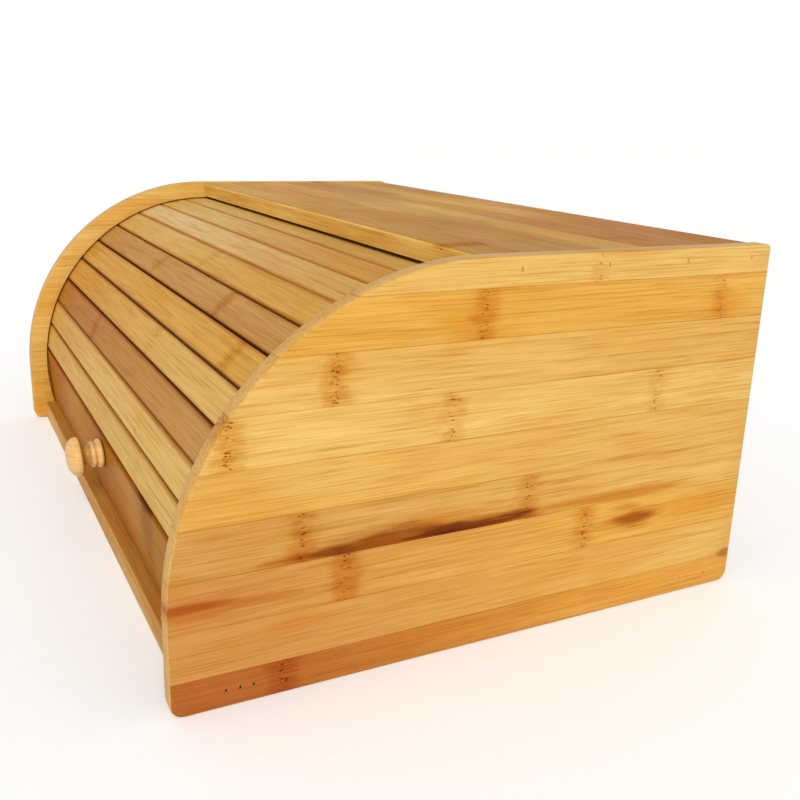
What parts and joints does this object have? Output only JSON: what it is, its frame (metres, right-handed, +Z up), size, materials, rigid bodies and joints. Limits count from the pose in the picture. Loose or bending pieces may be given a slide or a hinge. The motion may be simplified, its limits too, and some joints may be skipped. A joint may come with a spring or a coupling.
{
  "type": "bread box with roll top",
  "caption": "Bamboo bread box with a quarter-round front and a roll-top door of slats that turns up and back under the top board, opened by a turned knob.",
  "frame": {"origin": "on the surface the box stands on, below the centre of its bounding box", "axes": "+X to the box's right as seen from the front, -Y towards the front where the door and knob are, +Z up"},
  "size_m": [0.4, 0.2824, 0.165],
  "materials": {
    "side_bamboo": "edge-glued bamboo strips, satin clear varnish",
    "top_bamboo": "edge-glued bamboo strips, satin clear varnish, browner",
    "bottom_bamboo": "bamboo board, satin clear varnish",
    "back_bamboo": "thin bamboo board, matt",
    "light_slat_bamboo": "light bamboo slat, satin clear varnish",
    "dark_slat_bamboo": "brown carbonised bamboo slat or rail, satin clear varnish",
    "canvas": "plain undyed cotton canvas",
    "knob_wood": "turned light wood, satin clear varnish",
    "steel": "bright steel"
  },
  "bodies": {
    "case": {"side_panel_right": "side_bamboo", "side_panel_left": "side_bamboo", "top_board": "top_bamboo", "bottom_board": "bottom_bamboo", "back_panel": "back_bamboo", "nail_right_top_1": "steel", "nail_right_top_2": "steel", "nail_right_top_3": "steel", "nail_right_top_4": "steel", "nail_right_front_1": "steel", "nail_right_front_2": "steel", "nail_right_front_3": "steel", "nail_right_back_1": "steel", "nail_right_back_2": "steel", "nail_right_back_3": "steel", "nail_left_top_1": "steel", "nail_left_top_2": "steel", "nail_left_top_3": "steel", "nail_left_top_4": "steel", "nail_left_front_1": "steel", "nail_left_front_2": "steel", "nail_left_front_3": "steel", "nail_left_back_1": "steel", "nail_left_back_2": "steel", "nail_left_back_3": "steel"},
    "door": {"bottom_rail": "dark_slat_bamboo", "slat_01": "light_slat_bamboo", "slat_02": "light_slat_bamboo", "slat_03": "dark_slat_bamboo", "slat_04": "light_slat_bamboo", "slat_05": "light_slat_bamboo", "slat_06": "dark_slat_bamboo", "slat_07": "light_slat_bamboo", "slat_08": "light_slat_bamboo", "slat_09": "light_slat_bamboo", "slat_10": "light_slat_bamboo", "slat_11": "light_slat_bamboo", "slat_12": "light_slat_bamboo", "canvas_backing": "canvas", "knob": "knob_wood", "knob_screw": "steel"}
  },
  "joints": [
    {"name": "door_roll", "type": "hinge", "parent": "case", "child": "door", "pos_m": [0, -0.00678, 0.038], "axis": [-1, 0, 0], "range_deg": [0, 84]}
  ]
}
